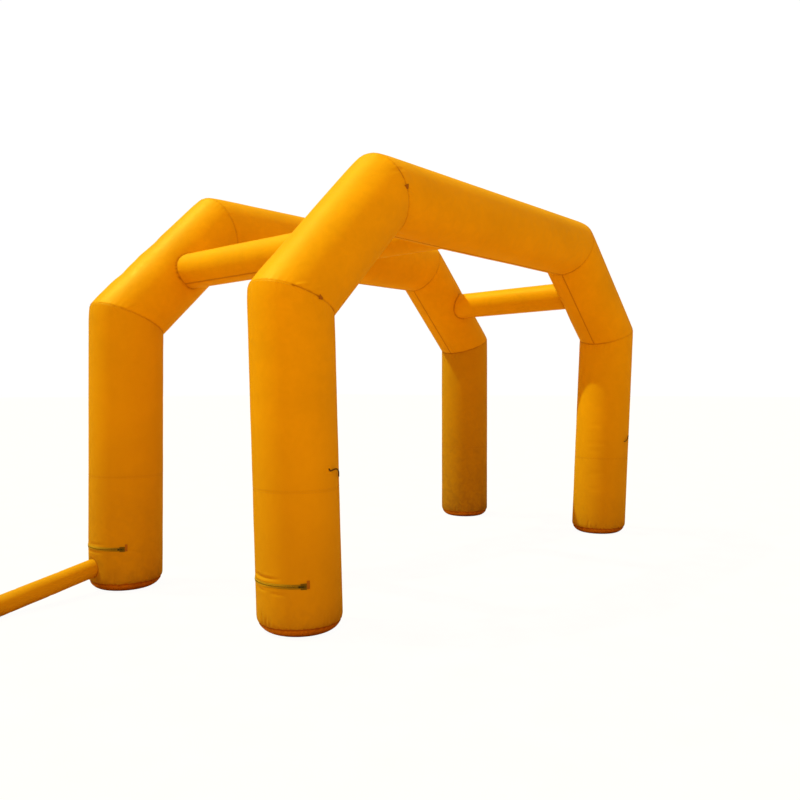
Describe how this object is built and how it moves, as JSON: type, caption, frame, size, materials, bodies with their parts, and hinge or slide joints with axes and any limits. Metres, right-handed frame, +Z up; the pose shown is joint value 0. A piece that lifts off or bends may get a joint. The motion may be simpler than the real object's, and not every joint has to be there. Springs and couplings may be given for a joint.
{
  "type": "inflatable arch",
  "caption": "Inflatable event arch in yellow-orange coated cloth: two tubular arches joined by cross tubes, with zips, base panels and an air sleeve",
  "frame": {"origin": "middle of the whole footprint, air sleeve included, on the ground plane that the four feet stand on", "axes": "+X along the arches, from the zip side to the plain side; +Y from the front arch to the rear; +Z up"},
  "size_m": [6.5764, 2.6304, 3.49],
  "materials": {
    "coated_cloth": "yellow-orange coated polyester with a soft sheen",
    "base_cloth": "red-brown coated cloth, dull and scuffed",
    "zip_tape": "dark olive-brown woven tape with a moulded coil",
    "zip_slider": "dark plated metal",
    "webbing": "brown woven webbing",
    "tie_cord": "dark brown twisted cord"
  },
  "bodies": {
    "root": {"air_sleeve": "coated_cloth", "crown_seam_tab": "webbing", "front_beam": "coated_cloth", "front_left_base": "base_cloth", "front_left_leg": "coated_cloth", "front_left_slope": "coated_cloth", "front_left_tie_cord": "tie_cord", "front_left_tie_patch": "coated_cloth", "front_left_zip_bar": "webbing", "front_left_zip_patch": "zip_tape", "front_left_zip_slider": "zip_slider", "front_left_zip_tape": "zip_tape", "front_right_base": "base_cloth", "front_right_leg": "coated_cloth", "front_right_slope": "coated_cloth", "front_right_tie_cord": "tie_cord", "front_right_tie_patch": "coated_cloth", "left_cross_tube": "coated_cloth", "middle_cross_tube": "coated_cloth", "rear_beam": "coated_cloth", "rear_left_base": "base_cloth", "rear_left_leg": "coated_cloth", "rear_left_slope": "coated_cloth", "rear_left_zip_bar": "webbing", "rear_left_zip_patch": "zip_tape", "rear_left_zip_slider": "zip_slider", "rear_left_zip_tape": "zip_tape", "rear_right_base": "base_cloth", "rear_right_leg": "coated_cloth", "rear_right_slope": "coated_cloth", "right_cross_tube": "coated_cloth", "shoulder_seam_tab": "webbing"}
  },
  "joints": []
}
